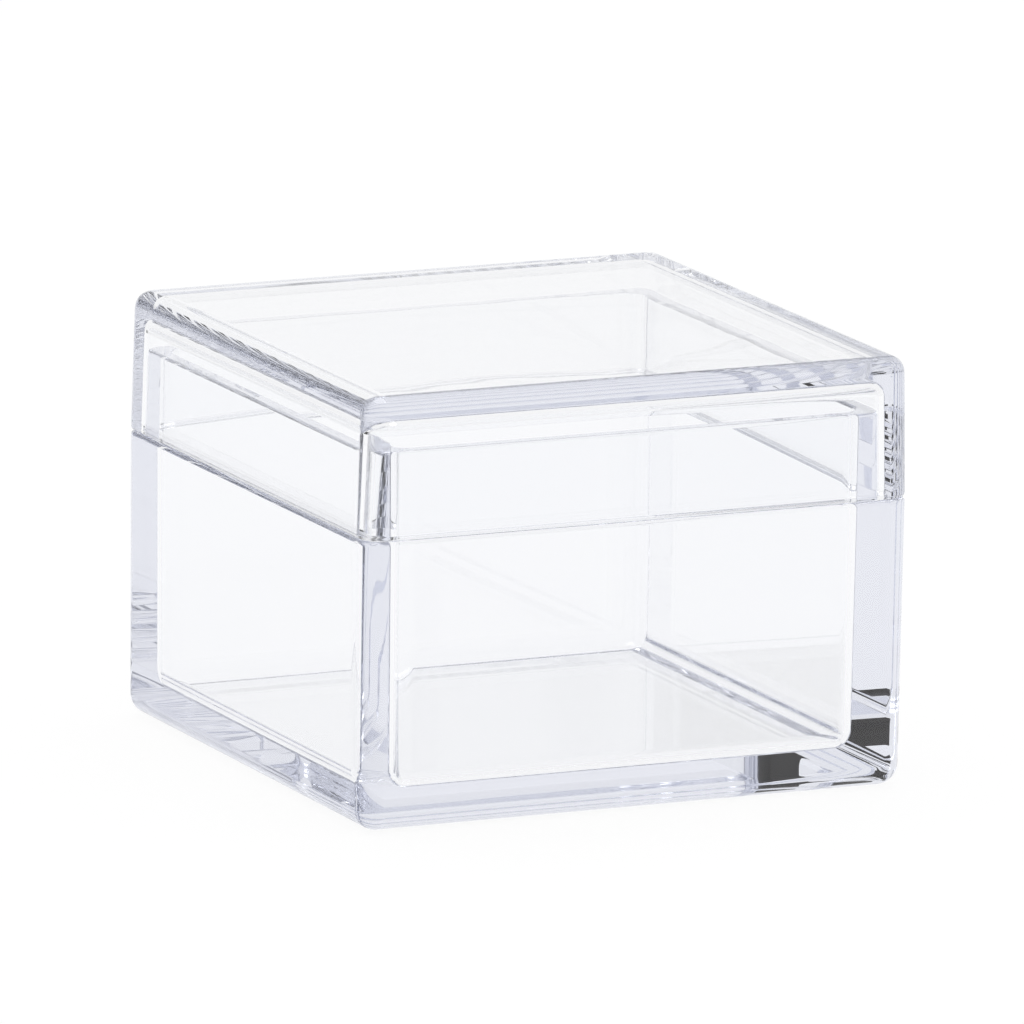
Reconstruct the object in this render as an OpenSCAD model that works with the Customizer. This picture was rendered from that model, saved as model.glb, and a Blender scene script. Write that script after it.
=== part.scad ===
// Clear moulded storage box with a lift-off lid.
//
// Two pieces: a thick-walled square base, whose wall steps in to a tall thin tongue above the
// split line, and a lid with a plain skirt that slides down over the tongue and rests on the step.
// The origin is the middle of the underside, +Z is up, and all sizes are in millimetres.

/* [Box] */
// Outside width at the split line, left to right
box_w = 50; // [35:0.5:90]
// Outside depth at the split line, front to back
box_d = 50; // [35:0.5:90]
// Outside radius of the upright corners
corner_r = 2.1; // [1.6:0.1:5]
// Radius of the small rounding on each side of the split line
seam_r = 0.4; // [0.1:0.05:0.7]

/* [Base] */
// Height of the base's outer wall, from the underside to the split line
base_h = 24.6; // [15:0.1:60]
// How far each outer face leans in between the split line and the underside
base_lean = 0.2; // [0.05:0.05:0.4]
// Rounding between the outer faces and the underside
foot_r = 1.9; // [0.5:0.1:4]
// Thickness of the floor
floor_t = 3; // [1.5:0.1:5]
// Radius of the cavity's upright corners, at its mouth
cavity_corner_r = 2; // [1:0.1:6]
// Rounding between the cavity's walls and the floor
cavity_floor_r = 1.6; // [0.4:0.1:4]
// How far each cavity wall leans in between the mouth and the floor
cavity_lean = 0.25; // [0.05:0.05:0.6]

/* [Tongue] */
// Height of the tongue above the split line
tongue_h = 7.2; // [3:0.1:12]
// Thickness of the tongue at its root
tongue_t = 1.6; // [1:0.1:3]
// Rounding of the tongue's two top edges
tongue_lip_r = 0.3; // [0.1:0.05:0.45]

/* [Lid] */
// Thickness of the lid's skirt at the split line
skirt_t = 1.7; // [1.2:0.1:3]
// Thickness of the lid's top
lid_top_t = 2.2; // [1.2:0.1:4]
// Free height between the tongue and the inside of the lid's top
headroom = 2.6; // [0.5:0.1:10]
// How far each outer face leans in between the split line and the top
lid_lean = 0.25; // [0.05:0.05:0.5]
// Rounding between the outer faces and the top
lid_edge_r = 1.5; // [0.4:0.1:4]
// Radius of the hollow's upright corners, at its mouth
hollow_corner_r = 1.6; // [0.8:0.1:4]
// Rounding between the skirt and the inside of the top
ceiling_r = 1.3; // [0.3:0.1:4]
// How far each inner face of the skirt leans in between the mouth and the top
hollow_lean = 0.2; // [0.05:0.05:0.4]
// Rounding of the skirt's inner bottom edge
skirt_lip_r = 0.25; // [0.1:0.05:0.4]

/* [Fit] */
// Clearance between the tongue and the skirt, on each side
fit_gap = 0.2; // [0.1:0.05:0.5]

/* [Look] */
// How much of the material shows in a preview
clear_alpha = 0.35; // [0.1:0.05:1]

/* [Hidden] */
$fn = 96;
// Least radius left at an upright corner, where a lean and a rounding meet
least_r = 0.05;
// How far a cutter runs past the face it opens
cut_over = 1;

lid_h = tongue_h + headroom + lid_top_t;
hollow_h = tongue_h + headroom;
cavity_h = base_h + tongue_h - floor_t;

hollow_w = box_w - 2 * skirt_t;
hollow_d = box_d - 2 * skirt_t;
tongue_w = hollow_w - 2 * fit_gap;
tongue_d = hollow_d - 2 * fit_gap;
tongue_corner_r = max(hollow_corner_r - fit_gap, least_r + tongue_lip_r);
cavity_w = tongue_w - 2 * tongue_t;
cavity_d = tongue_d - 2 * tongue_t;

// The tongue leans in at the skirt's own rate, so the clearance is the same all the way up.
tongue_lean = hollow_lean * tongue_h / hollow_h;

// Half section of a moulded block, drawn from the axis of its upright corner (x = 0) out to its
// face. It is widest at its open end (y = height) and leans in to its closed end (y = 0).
// The closed end's edge is rounded by end_r and the open end's edge by lip_r.
module block_section(reach, height, lean, end_r, lip_r) {
    slope = atan(lean / height);
    across = cos(slope);
    down = sin(slope);
    // A rounding is tangent to the end plane and to the leaning face, and its wall limits it.
    round_r = min(end_r, reach - lean - least_r);
    end_x = reach - lean + round_r * (tan(slope) - 1 / across);
    lip_x = reach - lip_r * (tan(slope) + 1 / across);
    intersection() {
        square([reach, height]);
        union() {
            polygon([
                [0, 0],
                [end_x, 0],
                [end_x + round_r * across, round_r - round_r * down],
                [lip_x + lip_r * across, height - lip_r - lip_r * down],
                [lip_x, height],
                [0, height]
            ]);
            translate([end_x, round_r])
                circle(r = round_r);
            translate([lip_x, height - lip_r])
                circle(r = lip_r);
        }
    }
}

// Half section of a cutter for a moulded hollow: the same block, whose open end flares out over
// a rounded edge of radius flare_r and runs on past the face that it opens.
module hollow_section(reach, height, lean, end_r, flare_r) {
    slope = atan(lean / height);
    flare_x = reach + flare_r * (1 / cos(slope) - tan(slope));
    round_r = min(end_r, reach - lean - least_r);
    end_x = reach - lean + round_r * (tan(slope) - 1 / cos(slope));
    difference() {
        intersection() {
            square([flare_x, height + cut_over]);
            union() {
                polygon([
                    [0, 0],
                    [end_x, 0],
                    [end_x + round_r * cos(slope), round_r - round_r * sin(slope)],
                    [flare_x - flare_r * cos(slope), height - flare_r + flare_r * sin(slope)],
                    [flare_x, height - flare_r],
                    [flare_x, height + cut_over],
                    [0, height + cut_over]
                ]);
                translate([end_x, round_r])
                    circle(r = round_r);
            }
        }
        translate([flare_x, height - flare_r])
            circle(r = flare_r);
    }
}

// Carries a half section round a rounded rectangle: a straight run along each pair of sides and
// a quarter turn at each corner. corner is the distance from the corner's axis to the face.
module round_plan(width, depth, corner) {
    run_x = width - 2 * corner;
    run_y = depth - 2 * corner;
    for (turn = [0, 1])
        mirror([turn, 0, 0])
            translate([run_x / 2, run_y / 2, 0])
                rotate([90, 0, 0])
                    linear_extrude(height = run_y)
                        children();
    for (turn = [0, 1])
        mirror([0, turn, 0])
            translate([-run_x / 2, run_y / 2, 0])
                rotate([90, 0, 90])
                    linear_extrude(height = run_x)
                        children();
    for (turn_x = [0, 1], turn_y = [0, 1])
        mirror([turn_x, 0, 0])
            mirror([0, turn_y, 0])
                translate([run_x / 2, run_y / 2, 0])
                    rotate_extrude(angle = 90)
                        children();
}

// Solid block with one rounded, narrower end at z = 0 and its wide end at z = height.
module moulded_block(width, depth, corner, height, lean, end_r, lip_r) {
    round_plan(width, depth, corner)
        block_section(corner, height, lean, end_r, lip_r);
    translate([corner - width / 2, corner - depth / 2, 0])
        cube([width - 2 * corner, depth - 2 * corner, height]);
}

// Cutter for a hollow whose bottom is at z = 0 and whose mouth is at z = height.
module moulded_hollow(width, depth, corner, height, lean, end_r, flare_r) {
    round_plan(width, depth, corner)
        hollow_section(corner, height, lean, end_r, flare_r);
    translate([corner - width / 2, corner - depth / 2, 0])
        cube([width - 2 * corner, depth - 2 * corner, height + cut_over]);
}

module base() {
    color("aliceblue", clear_alpha)
        difference() {
            union() {
                moulded_block(box_w, box_d, corner_r, base_h, base_lean, foot_r, seam_r);
                translate([0, 0, base_h + tongue_h])
                    mirror([0, 0, 1])
                        moulded_block(tongue_w, tongue_d, tongue_corner_r, tongue_h,
                                      tongue_lean, tongue_lip_r, least_r);
            }
            translate([0, 0, floor_t])
                moulded_hollow(cavity_w, cavity_d, cavity_corner_r, cavity_h,
                               cavity_lean, cavity_floor_r, tongue_lip_r);
        }
}

module lid() {
    color("ghostwhite", clear_alpha)
        translate([0, 0, base_h + lid_h])
            mirror([0, 0, 1])
                difference() {
                    moulded_block(box_w, box_d, corner_r, lid_h, lid_lean, lid_edge_r, seam_r);
                    translate([0, 0, lid_top_t])
                        moulded_hollow(hollow_w, hollow_d, hollow_corner_r, hollow_h,
                                       hollow_lean, ceiling_r, skirt_lip_r);
                }
}

base();
lid();
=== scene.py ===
"""Clear moulded storage box with a lift-off lid.

The base and the lid are one closed clear shell each, drawn from the sizes of the solids. They
stand on a pale stage with a camera. Sizes are in metres, in the frame of the solids.
"""

import math
from typing import NamedTuple

import bpy
from mathutils import Matrix, Vector


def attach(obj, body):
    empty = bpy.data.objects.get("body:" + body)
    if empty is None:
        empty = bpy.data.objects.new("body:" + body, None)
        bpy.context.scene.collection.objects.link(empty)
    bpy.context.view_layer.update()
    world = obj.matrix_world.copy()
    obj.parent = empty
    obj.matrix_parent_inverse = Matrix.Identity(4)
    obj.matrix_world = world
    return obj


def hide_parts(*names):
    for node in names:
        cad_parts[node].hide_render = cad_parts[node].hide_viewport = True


bl_info = {
    "name": "Clear storage box",
    "version": (1, 0, 0),
    "blender": (4, 5, 0),
    "location": "View3D > Sidebar > Storage box",
    "description": "Builds the clear base and lid of a moulded storage box, with its stage",
    "category": "Add Mesh",
}

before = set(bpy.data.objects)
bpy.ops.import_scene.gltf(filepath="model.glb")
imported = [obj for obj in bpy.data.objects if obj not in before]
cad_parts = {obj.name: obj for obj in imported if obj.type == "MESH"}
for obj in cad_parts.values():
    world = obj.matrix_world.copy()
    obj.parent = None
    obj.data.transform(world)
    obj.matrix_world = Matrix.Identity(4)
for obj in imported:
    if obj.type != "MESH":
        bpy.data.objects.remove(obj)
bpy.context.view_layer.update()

MM = 0.001


def length(name, description, millimetres):
    """A length setting, given in millimetres and stored in metres."""
    return bpy.props.FloatProperty(
        name=name,
        description=description,
        default=millimetres * MM,
        min=0.0,
        precision=5,
        unit="LENGTH",
    )


class BoxSizes(bpy.types.PropertyGroup):
    """Sizes that both pieces share."""

    width: length("Width", "Outside width at the split line", 50)
    depth: length("Depth", "Outside depth at the split line", 50)
    corner_r: length("Corner radius", "Outside radius of the upright corners", 2.1)
    seam_r: length("Seam rounding", "Small rounding on each side of the split line", 0.4)
    fit_gap: length("Fit gap", "Clearance between the tongue and the skirt", 0.2)
    air_film: length("Air film", "Air left between the step and the resting rim", 0.03)


class BaseSizes(bpy.types.PropertyGroup):
    """Sizes of the base."""

    height: length("Height", "Underside to split line", 24.6)
    lean: length("Lean", "How far each outer face leans in towards the underside", 0.2)
    foot_r: length("Foot rounding", "Rounding between the faces and the underside", 1.9)
    floor_t: length("Floor", "Thickness of the floor", 3.0)
    cavity_corner_r: length("Cavity corner", "Radius of the cavity's upright corners", 2.0)
    cavity_floor_r: length("Floor rounding", "Rounding between cavity wall and floor", 1.6)
    cavity_lean: length("Cavity lean", "How far each cavity wall leans in", 0.25)
    tongue_h: length("Tongue height", "Height of the tongue above the split line", 7.2)
    tongue_t: length("Tongue thickness", "Thickness of the tongue at its root", 1.6)
    tongue_lip_r: length("Tongue lip", "Rounding of the tongue's top edges", 0.3)


class LidSizes(bpy.types.PropertyGroup):
    """Sizes of the lid."""

    skirt_t: length("Skirt", "Thickness of the skirt at the split line", 1.7)
    top_t: length("Top", "Thickness of the lid's top", 2.2)
    headroom: length("Headroom", "Free height between the tongue and the top", 2.6)
    lean: length("Lean", "How far each outer face leans in towards the top", 0.25)
    edge_r: length("Edge rounding", "Rounding between the faces and the top", 1.5)
    hollow_corner_r: length("Hollow corner", "Radius of the hollow's upright corners", 1.6)
    ceiling_r: length("Ceiling rounding", "Rounding between skirt and top, inside", 1.3)
    hollow_lean: length("Hollow lean", "How far each inner face of the skirt leans in", 0.2)
    lip_r: length("Skirt lip", "Rounding of the skirt's inner bottom edge", 0.25)


class ClearPlastic(bpy.types.PropertyGroup):
    """Look of the clear moulded plastic."""

    tint: bpy.props.FloatVectorProperty(
        name="Tint",
        description="Colour of the clear plastic's surface",
        subtype="COLOR",
        size=3,
        min=0.0,
        max=1.0,
        default=(0.985, 0.988, 0.995),
    )
    thick_tint: bpy.props.FloatVectorProperty(
        name="Thick tint",
        description="Colour that light takes on along a thick wall",
        subtype="COLOR",
        size=3,
        min=0.0,
        max=1.0,
        default=(0.80, 0.815, 0.88),
    )
    density: bpy.props.FloatProperty(
        name="Density",
        description="How strongly thick walls take on their tint, per metre",
        default=20.0,
        min=0.0,
    )
    ior: bpy.props.FloatProperty(
        name="Refraction",
        description="Index of refraction of acrylic",
        default=1.49,
        min=1.0,
        max=2.5,
    )
    ripple: bpy.props.FloatProperty(
        name="Ripple",
        description="Strength of the faint moulding ripple in the faces",
        default=0.05,
        min=0.0,
        max=1.0,
    )


class StageLook(bpy.types.PropertyGroup):
    """Look of the floor and of the room around it."""

    floor: bpy.props.FloatVectorProperty(
        name="Floor",
        description="Colour of the floor",
        subtype="COLOR",
        size=3,
        min=0.0,
        max=1.0,
        default=(0.93, 0.93, 0.93),
    )
    surround: bpy.props.FloatProperty(
        name="Surround",
        description="Brightness of the room around the stage",
        default=0.95,
        min=0.0,
        max=2.0,
    )


# Shapes ------------------------------------------------------------------------------------

# Steps round each upright corner, and along each rounding of a wall's section
CORNER_STEPS = 20
ARC_STEPS = 12
# Least radius left at an upright corner, where a lean and a rounding meet
LEAST_RADIUS = 0.05 * MM
QUARTER = math.pi / 2
CORNERS = ((1, 1), (-1, 1), (-1, -1), (1, -1))
# Each point of a ring round the box: the signs of its corner, and the direction it faces
RING = [
    (sign_x, sign_y, QUARTER * (corner + step / CORNER_STEPS))
    for corner, (sign_x, sign_y) in enumerate(CORNERS)
    for step in range(CORNER_STEPS + 1)
]


class Station(NamedTuple):
    """One point of a wall's section: the ring that it makes round the box, and its normal."""

    half_x: float
    half_y: float
    radius: float
    height: float
    out: float
    up: float


class Plan(NamedTuple):
    """Rounded rectangle that a wall's face follows at its open end."""

    half_x: float
    half_y: float
    radius: float

    def inset_by(self, inset, radius):
        """The plan of a face further in, with its own corner radius."""
        return Plan(self.half_x - inset, self.half_y - inset, radius)

    def rounding(self, inset, height, radius, start, end, facing=1):
        """Stations along a rounding whose centre lies this far in and up, from start to end.

        A facing of -1 is a hollow rounding, whose surface looks at its own centre.
        """
        stations = []
        for step in range(ARC_STEPS + 1):
            turn = start + (end - start) * step / ARC_STEPS
            across, up = math.cos(turn), math.sin(turn)
            depth = inset - radius * across
            stations.append(
                Station(
                    self.half_x - depth,
                    self.half_y - depth,
                    max(self.radius - depth, LEAST_RADIUS),
                    height + radius * up,
                    facing * across,
                    facing * up,
                )
            )
        return stations


def outer_face(plan, height, lean, end_r, lip_r):
    """Section of a block's outer face, from its closed end at 0 up to its open end."""
    slope = math.atan(lean / height)
    end_r = min(end_r, plan.radius - lean - LEAST_RADIUS)
    end_in = lean + end_r * (1 / math.cos(slope) - math.tan(slope))
    lip_in = lip_r * (1 / math.cos(slope) + math.tan(slope))
    end = plan.rounding(end_in, end_r, end_r, -QUARTER, -slope)
    lip = plan.rounding(lip_in, height - lip_r, lip_r, -slope, QUARTER)
    return end + lip


def hollow_face(plan, height, lean, end_r, lip_r):
    """Section of a hollow's face, from its flared mouth down to its closed end at 0."""
    slope = math.atan(lean / height)
    end_r = min(end_r, plan.radius - lean - LEAST_RADIUS)
    end_in = lean + end_r * (1 / math.cos(slope) - math.tan(slope))
    lip_in = -lip_r * (1 / math.cos(slope) - math.tan(slope))
    lip = plan.rounding(lip_in, height - lip_r, lip_r, QUARTER, math.pi - slope)
    end = plan.rounding(end_in, end_r, end_r, -slope, -QUARTER, facing=-1)
    return lip + end


def level_face(first, last, up):
    """Section of a level face that joins two stations and looks up (1) or down (-1)."""
    return [station._replace(out=0.0, up=up) for station in (first, last)]


def raised(section, by):
    """The same section, lifted."""
    return [station._replace(height=station.height + by) for station in section]


def turned_over(section, top):
    """The same section upside down, with its closed end at the top."""
    return [
        station._replace(height=top - station.height, up=-station.up) for station in section
    ]


def ring_points(station):
    """Points of the ring that a station makes round the box."""
    return [
        (
            sign_x * (station.half_x - station.radius) + station.radius * math.cos(turn),
            sign_y * (station.half_y - station.radius) + station.radius * math.sin(turn),
            station.height,
        )
        for sign_x, sign_y, turn in RING
    ]


def ring_normals(station):
    """The wall's normal at each point of a station's ring."""
    return [
        Vector(
            (station.out * math.cos(turn), station.out * math.sin(turn), station.up)
        ).normalized()
        for _, _, turn in RING
    ]


def shell(name, sections, inside_out=False):
    """Closed shell through the rings of these sections, with each face's true normals.

    The sections follow one another, and each starts on the ring where the last one ended.
    """
    size = len(RING)
    points, faces, normals = [], [], []
    for section in sections:
        if not points:
            points.extend(ring_points(section[0]))
        for before, station in zip(section, section[1:]):
            low = len(points) - size
            high = len(points)
            points.extend(ring_points(station))
            low_normals, high_normals = ring_normals(before), ring_normals(station)
            for k in range(size):
                n = (k + 1) % size
                faces.append((low + k, low + n, high + n, high + k))
                normals.append(
                    (low_normals[k], low_normals[n], high_normals[n], high_normals[k])
                )
    last = len(points) - size
    for cap, station in (
        (range(size - 1, -1, -1), sections[0][0]),
        (range(last, last + size), sections[-1][-1]),
    ):
        faces.append(tuple(cap))
        normals.append([Vector((0.0, 0.0, math.copysign(1.0, station.up)))] * size)
    if inside_out:
        faces = [tuple(reversed(face)) for face in faces]
        normals = [tuple(reversed(corners)) for corners in normals]
    mesh = bpy.data.meshes.new(name)
    mesh.from_pydata(points, [], faces)
    mesh.shade_smooth()
    mesh.normals_split_custom_set([normal for corners in normals for normal in corners])
    mesh.validate()
    piece = bpy.data.objects.new(name, mesh)
    bpy.context.scene.collection.objects.link(piece)
    return piece


def box_plan(box):
    """Plan of the outer faces of both pieces."""
    return Plan(box.width / 2, box.depth / 2, box.corner_r)


def base_piece(box, base, lid):
    """The base: floor, walls, step and tongue in one closed shell."""
    outer = outer_face(box_plan(box), base.height, base.lean, base.foot_r, box.seam_r)
    # The tongue leans in at the skirt's own rate, so the clearance is the same all the way up.
    tongue_lean = lid.hollow_lean * base.tongue_h / (base.tongue_h + lid.headroom)
    tongue_plan = box_plan(box).inset_by(
        lid.skirt_t + box.fit_gap, lid.hollow_corner_r - box.fit_gap
    )
    tongue = outer_face(
        tongue_plan, base.tongue_h, tongue_lean, base.tongue_lip_r, LEAST_RADIUS
    )
    top = base.height + base.tongue_h
    tongue = turned_over(tongue, top)[::-1]
    cavity = hollow_face(
        tongue_plan.inset_by(base.tongue_t, base.cavity_corner_r),
        top - base.floor_t,
        base.cavity_lean,
        base.cavity_floor_r,
        base.tongue_lip_r,
    )
    cavity = raised(cavity, base.floor_t)
    step = level_face(outer[-1], tongue[0], 1.0)
    tongue_top = level_face(tongue[-1], cavity[0], 1.0)
    return shell("storage_base", [outer, step, tongue, tongue_top, cavity])


def lid_piece(box, base, lid):
    """The lid: top and skirt in one closed shell, resting on the base's step."""
    height = base.tongue_h + lid.headroom + lid.top_t - box.air_film
    top = base.height + base.tongue_h + lid.headroom + lid.top_t
    outer = outer_face(box_plan(box), height, lid.lean, lid.edge_r, box.seam_r)
    hollow = hollow_face(
        box_plan(box).inset_by(lid.skirt_t, lid.hollow_corner_r),
        height - lid.top_t,
        lid.hollow_lean,
        lid.ceiling_r,
        lid.lip_r,
    )
    outer = turned_over(outer, top)
    hollow = turned_over(raised(hollow, lid.top_t), top)
    rim = level_face(outer[-1], hollow[0], -1.0)
    return shell("storage_lid", [outer, rim, hollow], inside_out=True)


# Finishes ----------------------------------------------------------------------------------

# Share of roughness that the haze adds at its strongest
HAZE = 0.015
# Noise scale of the moulding's ripple on each piece, per metre
BASE_RIPPLE = 55.0
LID_RIPPLE = 70.0


def add_node(tree, kind, values=None, **settings):
    """Add a node to a shader tree, with its settings and the values of its sockets."""
    node = tree.nodes.new(kind)
    for setting, value in settings.items():
        setattr(node, setting, value)
    for socket, value in (values or {}).items():
        node.inputs[socket].default_value = value
    return node


def empty_tree(owner):
    """The shader tree of a material or world, emptied, and its function that links sockets."""
    owner.use_nodes = True
    owner.node_tree.nodes.clear()
    return owner.node_tree, owner.node_tree.links.new


def moulding_group():
    """Faint flow ripple and haze that moulding leaves in clear plastic."""
    name = "MouldedClearPlastic"
    tree = bpy.data.node_groups.get(name)
    if tree:
        return tree
    tree = bpy.data.node_groups.new(name, "ShaderNodeTree")
    socket = tree.interface.new_socket
    socket("Tint", in_out="INPUT", socket_type="NodeSocketColor")
    socket("Ripple Size", in_out="INPUT", socket_type="NodeSocketFloat")
    socket("Haze", in_out="INPUT", socket_type="NodeSocketFloat")
    socket("Color", in_out="OUTPUT", socket_type="NodeSocketColor")
    socket("Roughness", in_out="OUTPUT", socket_type="NodeSocketFloat")
    socket("Height", in_out="OUTPUT", socket_type="NodeSocketFloat")
    link = tree.links.new
    source = add_node(tree, "NodeGroupInput")
    result = add_node(tree, "NodeGroupOutput")
    where = add_node(tree, "ShaderNodeTexCoord")

    flow = add_node(tree, "ShaderNodeTexNoise", {"Detail": 1.5, "Roughness": 0.4})
    link(where.outputs["Object"], flow.inputs["Vector"])
    link(source.outputs["Ripple Size"], flow.inputs["Scale"])
    link(flow.outputs["Fac"], result.inputs["Height"])

    streak = add_node(tree, "ShaderNodeTexNoise", {"Scale": 350.0, "Detail": 4.0})
    haze = add_node(tree, "ShaderNodeMapRange", {"From Min": 0.5, "From Max": 0.9})
    link(where.outputs["Object"], streak.inputs["Vector"])
    link(streak.outputs["Fac"], haze.inputs["Value"])
    link(source.outputs["Haze"], haze.inputs["To Max"])
    link(haze.outputs["Result"], result.inputs["Roughness"])

    faint = add_node(tree, "ShaderNodeMapRange", {"To Min": 0.99})
    shade = add_node(
        tree, "ShaderNodeMix", {"Factor": 1.0}, data_type="RGBA", blend_type="MULTIPLY"
    )
    link(flow.outputs["Fac"], faint.inputs["Value"])
    link(source.outputs["Tint"], shade.inputs["A"])
    link(faint.outputs["Result"], shade.inputs["B"])
    link(shade.outputs["Result"], result.inputs["Color"])
    return tree


def clear_plastic(name, look, ripple_size):
    """Clear acrylic: full transmission, a tint that builds up with thickness, faint ripple."""
    material = bpy.data.materials.new(name)
    tree, link = empty_tree(material)
    out = add_node(tree, "ShaderNodeOutputMaterial")
    surface = add_node(
        tree, "ShaderNodeBsdfPrincipled", {"IOR": look.ior, "Transmission Weight": 1.0}
    )
    moulding = add_node(tree, "ShaderNodeGroup", node_tree=moulding_group())
    moulding.inputs["Tint"].default_value = (*look.tint, 1.0)
    moulding.inputs["Ripple Size"].default_value = ripple_size
    moulding.inputs["Haze"].default_value = HAZE
    bump = add_node(
        tree, "ShaderNodeBump", {"Strength": look.ripple, "Distance": 0.5 * MM}
    )
    depth = add_node(
        tree,
        "ShaderNodeVolumeAbsorption",
        {"Color": (*look.thick_tint, 1.0), "Density": look.density},
    )
    link(moulding.outputs["Color"], surface.inputs["Base Color"])
    link(moulding.outputs["Roughness"], surface.inputs["Roughness"])
    link(moulding.outputs["Height"], bump.inputs["Height"])
    link(bump.outputs["Normal"], surface.inputs["Normal"])
    link(surface.outputs["BSDF"], out.inputs["Surface"])
    link(depth.outputs["Volume"], out.inputs["Volume"])
    return material


def shown_white(name, colour, share):
    """Matte stage material that shows this share of white to the eye and to clear plastic."""
    material = bpy.data.materials.new(name)
    tree, link = empty_tree(material)
    out = add_node(tree, "ShaderNodeOutputMaterial")
    matte = add_node(tree, "ShaderNodeBsdfDiffuse", {"Color": (*colour, 1.0)})
    glow = add_node(tree, "ShaderNodeEmission", {"Strength": 1.0})
    path = add_node(tree, "ShaderNodeLightPath")
    seen = add_node(tree, "ShaderNodeMath", operation="MAXIMUM")
    through = add_node(tree, "ShaderNodeMath", operation="MAXIMUM")
    part = add_node(tree, "ShaderNodeMath", {1: share}, operation="MULTIPLY")
    mix = add_node(tree, "ShaderNodeMixShader")
    link(path.outputs["Is Camera Ray"], seen.inputs[0])
    link(path.outputs["Is Glossy Ray"], seen.inputs[1])
    link(seen.outputs[0], through.inputs[0])
    link(path.outputs["Is Transmission Ray"], through.inputs[1])
    link(through.outputs[0], part.inputs[0])
    link(part.outputs[0], mix.inputs["Fac"])
    link(matte.outputs["BSDF"], mix.inputs[1])
    link(glow.outputs["Emission"], mix.inputs[2])
    link(mix.outputs["Shader"], out.inputs["Surface"])
    return material


def matte_card(name, colour):
    """Plain matte material of a stage card."""
    material = bpy.data.materials.new(name)
    tree, link = empty_tree(material)
    out = add_node(tree, "ShaderNodeOutputMaterial")
    matte = add_node(tree, "ShaderNodeBsdfDiffuse", {"Color": (*colour, 1.0)})
    link(matte.outputs["BSDF"], out.inputs["Surface"])
    return material


# Stage -------------------------------------------------------------------------------------

# The floor lies this far under the box, because clear faces that touch it render as one.
FLOOR_GAP = 0.15 * MM
FLOOR_REACH = 3.0
# Share of the floor that shows as plain white; the rest keeps the box's shadow
FLOOR_WHITE = 0.94
# Light runs a long way inside the clear walls before it leaves them.
WALL_BOUNCES = 40
# What the cards and the lamp point at
BOX_MIDDLE = Vector((0.0, 0.0, 0.02))
CARD_COLOURS = {"grey_card": (0.30, 0.31, 0.36), "dark_card": (0.02, 0.018, 0.016)}
# Each card's name, centre, width, height and material
CARDS = (
    ("card_right", (0.55, -0.55, 0.10), 0.50, 0.30, "grey_card"),
    ("card_left", (-0.75, 0.05, 0.12), 0.35, 0.30, "grey_card"),
    ("card_back", (-0.50, 0.62, 0.16), 0.64, 0.32, "dark_card"),
)
LAMP_PLACE = (0.0, 0.1, 0.9)
LAMP_SIZE = 0.6
LAMP_POWER = 3.0

# The camera's direction in degrees, and the point that it looks at
AZIMUTH = -24.9348
ELEVATION = 12.1732
ROLL = 0.8565
DISTANCE = 1.43688
AIM_RIGHT = -0.000185
AIM_UP = 0.020355
SENSOR = 36.0
# Focal length as a multiple of the picture's width
FOCAL_WIDTHS = 17106.8 / 1024


def sheet(name, corners, material):
    """A flat stage panel through four corners."""
    mesh = bpy.data.meshes.new(name)
    mesh.from_pydata(corners, [], [(0, 1, 2, 3)])
    mesh.materials.append(material)
    panel = bpy.data.objects.new(name, mesh)
    bpy.context.scene.collection.objects.link(panel)
    return panel


def card(name, centre, width, height, material):
    """An upright stage card that faces the box; only light sees it, so it hides no view."""
    centre = Vector(centre)
    facing = (BOX_MIDDLE - centre).normalized()
    side = Vector((0.0, 0.0, 1.0)).cross(facing).normalized()
    rise = facing.cross(side)
    corners = [centre + side * width / 2 * x + rise * height / 2 * y for x, y in CORNERS]
    panel = sheet(name, corners, material)
    panel.visible_camera = False
    return panel


def lamp(name, place, size, power):
    """A soft square lamp that points at the box."""
    data = bpy.data.lights.new(name, "AREA")
    data.size = size
    data.energy = power
    light = bpy.data.objects.new(name, data)
    light.location = place
    light.rotation_euler = (Vector(place) - BOX_MIDDLE).to_track_quat("Z", "Y").to_euler()
    bpy.context.scene.collection.objects.link(light)
    return light


def room(brightness):
    """Even surroundings of this brightness, which the camera itself sees as white."""
    world = bpy.data.worlds.new("studio")
    tree, link = empty_tree(world)
    out = add_node(tree, "ShaderNodeOutputWorld")
    around = add_node(tree, "ShaderNodeBackground", {"Color": (*[brightness] * 3, 1.0)})
    white = add_node(tree, "ShaderNodeBackground", {"Color": (1.0, 1.0, 1.0, 1.0)})
    path = add_node(tree, "ShaderNodeLightPath")
    mix = add_node(tree, "ShaderNodeMixShader")
    link(path.outputs["Is Camera Ray"], mix.inputs["Fac"])
    link(around.outputs["Background"], mix.inputs[1])
    link(white.outputs["Background"], mix.inputs[2])
    link(mix.outputs["Shader"], out.inputs["Surface"])
    return world


def stage_camera():
    """Camera that sees the closed box from its front left, a little from above."""
    a, e, r = (math.radians(angle) for angle in (AZIMUTH, ELEVATION, ROLL))
    back = Vector((math.sin(a) * math.cos(e), -math.cos(a) * math.cos(e), math.sin(e)))
    level = Vector((math.cos(a), math.sin(a), 0.0))
    over = back.cross(level)
    right = math.cos(r) * level + math.sin(r) * over
    up = math.cos(r) * over - math.sin(r) * level
    data = bpy.data.cameras.new("camera")
    data.sensor_width = SENSOR
    data.lens = FOCAL_WIDTHS * SENSOR
    data.clip_start = 0.01
    data.clip_end = 20.0
    camera = bpy.data.objects.new("camera", data)
    place = level * AIM_RIGHT + Vector((0.0, 0.0, AIM_UP)) + back * DISTANCE
    turn = Matrix((right, up, back)).transposed().to_4x4()
    camera.matrix_world = Matrix.Translation(place) @ turn
    bpy.context.scene.collection.objects.link(camera)
    return camera


# Operators ---------------------------------------------------------------------------------


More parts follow.
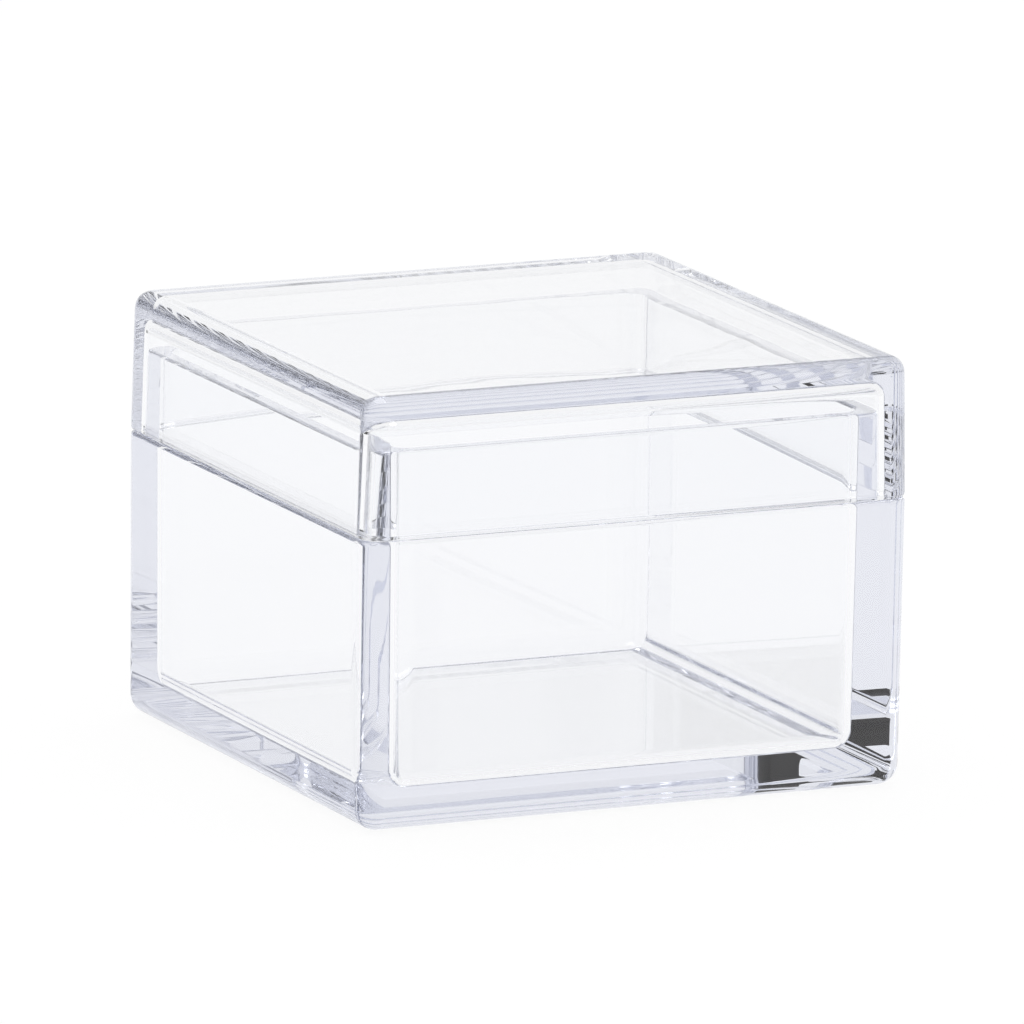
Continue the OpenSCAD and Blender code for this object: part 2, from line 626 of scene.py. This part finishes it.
class STORAGEBOX_OT_base(bpy.types.Operator):
    """Build the clear base"""

    bl_idname = "storagebox.base"
    bl_label = "Build base"

    def execute(self, context):
        scene = context.scene
        piece = base_piece(scene.storage_box, scene.storage_base, scene.storage_lid)
        finish = clear_plastic("clear_base", scene.clear_plastic, BASE_RIPPLE)
        piece.data.materials.append(finish)
        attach(piece, "base")
        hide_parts("base")
        return {"FINISHED"}


class STORAGEBOX_OT_lid(bpy.types.Operator):
    """Build the clear lid"""

    bl_idname = "storagebox.lid"
    bl_label = "Build lid"

    def execute(self, context):
        scene = context.scene
        piece = lid_piece(scene.storage_box, scene.storage_base, scene.storage_lid)
        finish = clear_plastic("clear_lid", scene.clear_plastic, LID_RIPPLE)
        piece.data.materials.append(finish)
        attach(piece, "lid")
        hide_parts("lid")
        return {"FINISHED"}


class STORAGEBOX_OT_stage(bpy.types.Operator):
    """Build the floor, the cards, the room, the lamp and the camera"""

    bl_idname = "storagebox.stage"
    bl_label = "Build stage"

    def execute(self, context):
        scene = context.scene
        look = scene.stage_look
        corners = [(x * FLOOR_REACH, y * FLOOR_REACH, -FLOOR_GAP) for x, y in CORNERS]
        sheet("floor", corners, shown_white("stage_white", look.floor, FLOOR_WHITE))
        finishes = {name: matte_card(name, colour) for name, colour in CARD_COLOURS.items()}
        for name, centre, width, height, finish in CARDS:
            card(name, centre, width, height, finishes[finish])
        scene.world = room(look.surround)
        lamp("lamp_top", LAMP_PLACE, LAMP_SIZE, LAMP_POWER)
        scene.camera = stage_camera()
        scene.view_settings.view_transform = "Standard"
        scene.cycles.max_bounces = WALL_BOUNCES
        scene.cycles.transmission_bounces = WALL_BOUNCES
        scene.cycles.glossy_bounces = WALL_BOUNCES
        return {"FINISHED"}


class STORAGEBOX_PT_panel(bpy.types.Panel):
    """Settings and build buttons of the storage box"""

    bl_idname = "STORAGEBOX_PT_panel"
    bl_label = "Storage box"
    bl_space_type = "VIEW_3D"
    bl_region_type = "UI"
    bl_category = "Storage box"

    def draw(self, context):
        for name in GROUPS:
            settings = getattr(context.scene, name)
            for key in settings.bl_rna.properties.keys():
                if key not in ("rna_type", "name"):
                    self.layout.prop(settings, key)
        for operator in OPERATORS:
            self.layout.operator(operator.bl_idname)


GROUPS = {
    "storage_box": BoxSizes,
    "storage_base": BaseSizes,
    "storage_lid": LidSizes,
    "clear_plastic": ClearPlastic,
    "stage_look": StageLook,
}
OPERATORS = (STORAGEBOX_OT_base, STORAGEBOX_OT_lid, STORAGEBOX_OT_stage)


def register():
    """Register the settings, the operators and the panel."""
    for name, group in GROUPS.items():
        bpy.utils.register_class(group)
        setattr(bpy.types.Scene, name, bpy.props.PointerProperty(type=group))
    for item in (*OPERATORS, STORAGEBOX_PT_panel):
        bpy.utils.register_class(item)


def unregister():
    """Take the panel, the operators and the settings out again."""
    for item in (STORAGEBOX_PT_panel, *reversed(OPERATORS)):
        bpy.utils.unregister_class(item)
    for name, group in reversed(GROUPS.items()):
        delattr(bpy.types.Scene, name)
        bpy.utils.unregister_class(group)


def main():
    """Build the box on its stage."""
    register()
    bpy.ops.storagebox.base()
    bpy.ops.storagebox.lid()
    bpy.ops.storagebox.stage()


if __name__ == "__main__":
    main()
